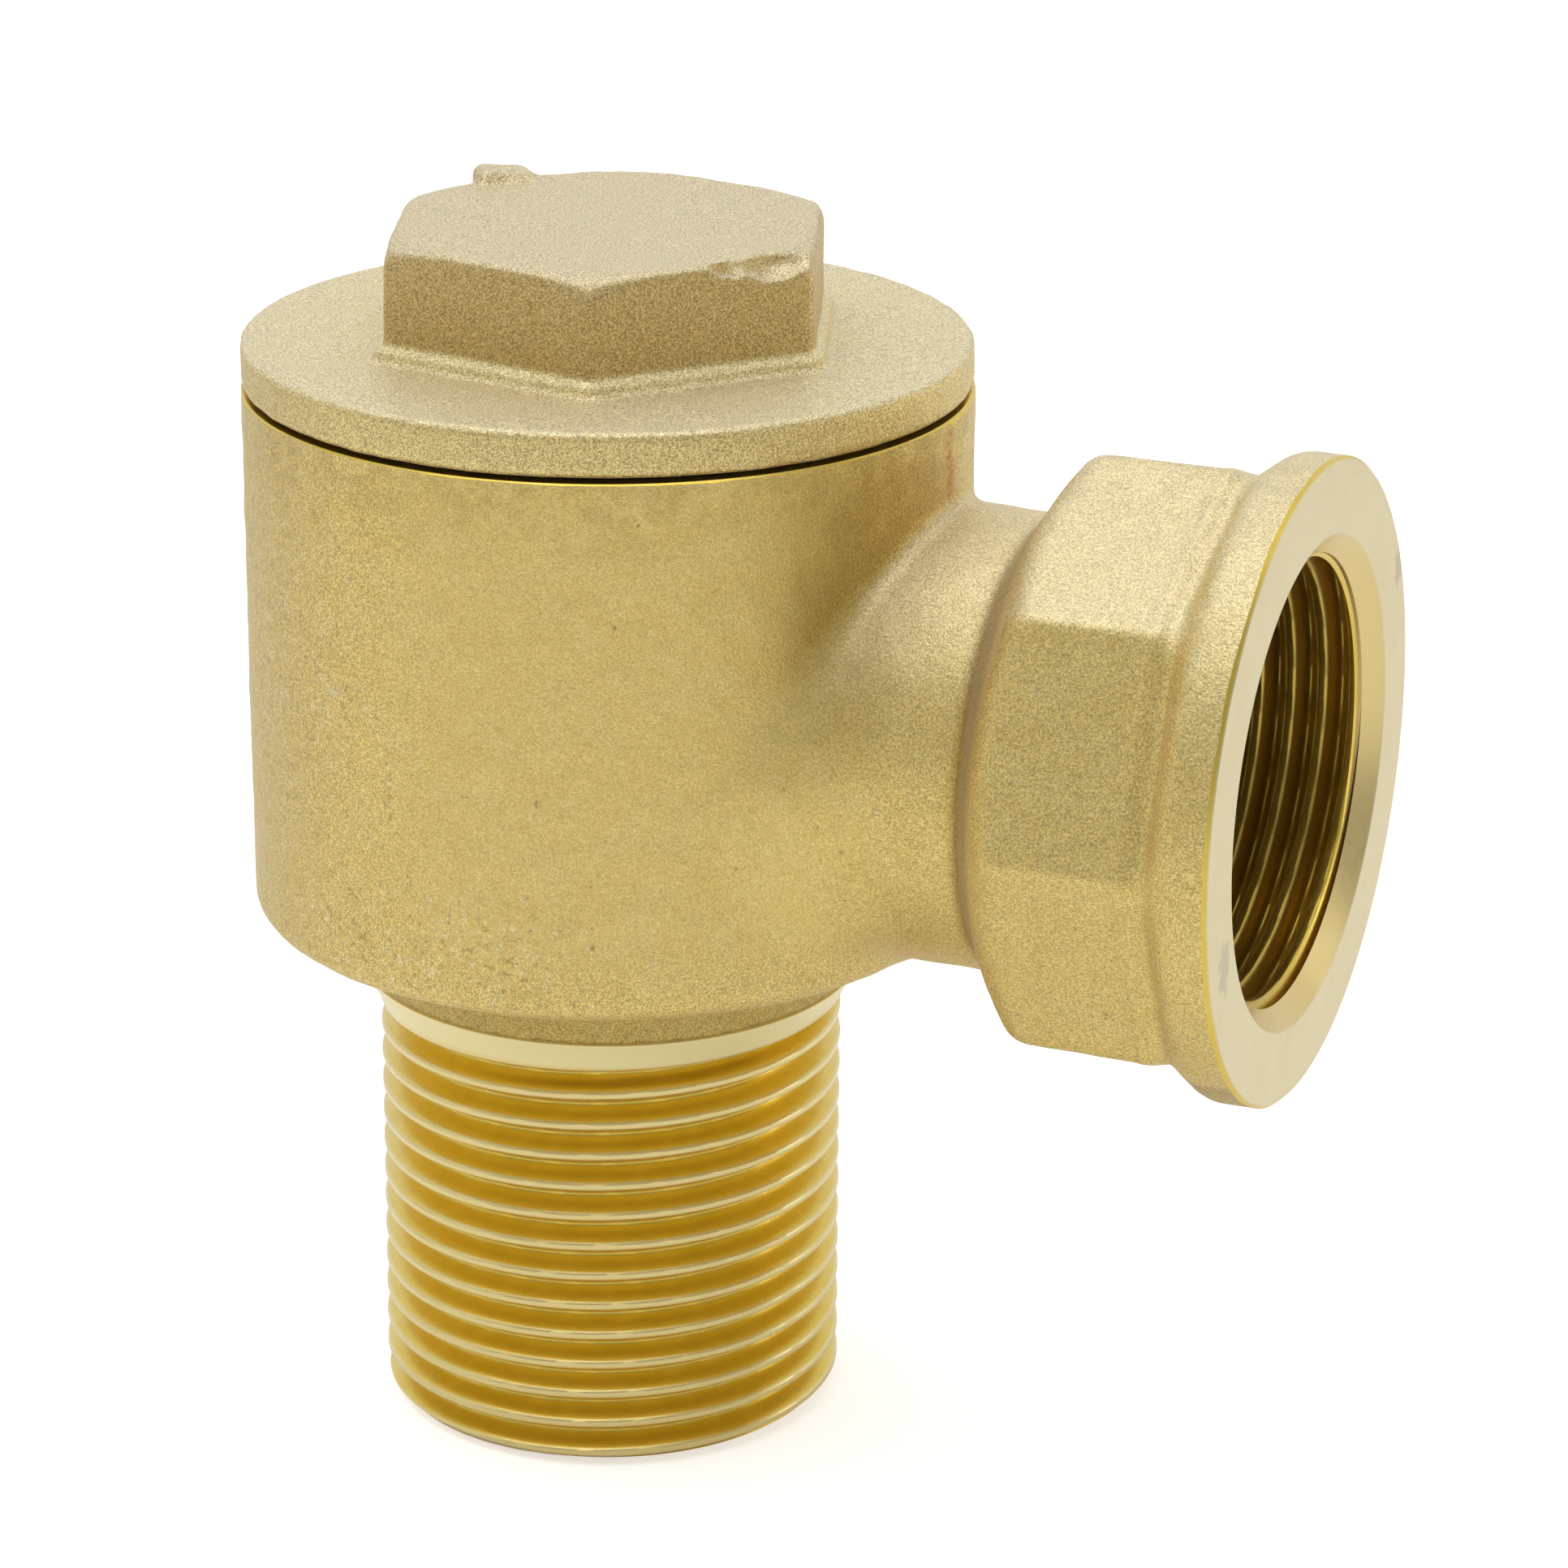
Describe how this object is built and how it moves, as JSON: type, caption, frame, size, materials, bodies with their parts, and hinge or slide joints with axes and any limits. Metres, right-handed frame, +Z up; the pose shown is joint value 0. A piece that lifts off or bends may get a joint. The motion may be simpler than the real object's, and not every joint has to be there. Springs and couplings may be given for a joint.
{
  "type": "automatic air vent",
  "caption": "Brass angle-pattern thermostatic air vent: hex-headed screwed bonnet on a round body, male pipe thread below, octagonal female side port with a round rim.",
  "frame": {"origin": "on the main axis, at the open end face of the lower male thread", "axes": "+Z up along the main axis, from the male thread to the hexagon head; +X along the side port, out of its mouth"},
  "size_m": [0.0774, 0.0508, 0.0871],
  "materials": {
    "cast_brass": "blasted sand casting, matt, with machined bands",
    "turned_brass": "turned, satin",
    "stainless": "satin stainless sheet",
    "spring_steel": "drawn stainless wire",
    "bronze_bellows": "phosphor bronze, bright",
    "copper": "soft copper, satin",
    "fibre_gasket": "graphited fibre, dull"
  },
  "bodies": {
    "housing": {"body": "cast_brass", "valve_seat": "turned_brass", "seat_gasket": "copper", "strainer_screen": "stainless", "strainer_rim": "stainless", "strainer_snap_ring": "spring_steel", "cage": "stainless", "setting_shim": "stainless", "spring_cup": "stainless", "cage_snap_ring": "spring_steel", "override_spring": "spring_steel"},
    "gasket": {"bonnet_gasket": "fibre_gasket"},
    "bonnet": {"bonnet": "cast_brass"},
    "element_head": {"head_plate": "turned_brass", "fill_tube": "copper", "bellows": "bronze_bellows", "stop_post": "turned_brass"},
    "plug": {"foot_plate": "turned_brass", "plug_nut": "turned_brass", "valve_plug": "stainless"}
  },
  "joints": [
    {"name": "bonnet_rise", "type": "slide", "parent": "housing", "child": "gasket", "axis": [0, 0, 1], "range_m": [0, 0.0076]},
    {"name": "bonnet_turn", "type": "hinge", "parent": "gasket", "child": "bonnet", "pos_m": [0, 0, 0.0761], "axis": [0, 0, 1], "range_deg": [0, 1800]},
    {"name": "element_overtravel", "type": "slide", "parent": "housing", "child": "element_head", "axis": [0, 0, 1], "range_m": [0, 0.0015], "stiffness_N_per_m": 2000, "springref_m": -0.004, "deforming": ["override_spring"]},
    {"name": "plug_travel", "type": "slide", "parent": "element_head", "child": "plug", "axis": [0, 0, -1], "range_m": [0, 0.003], "deforming": ["bellows"]}
  ],
  "couplings": [
    {"joint": "bonnet_rise", "follows": "bonnet_turn", "m_per_rad": 0.00023873}
  ]
}
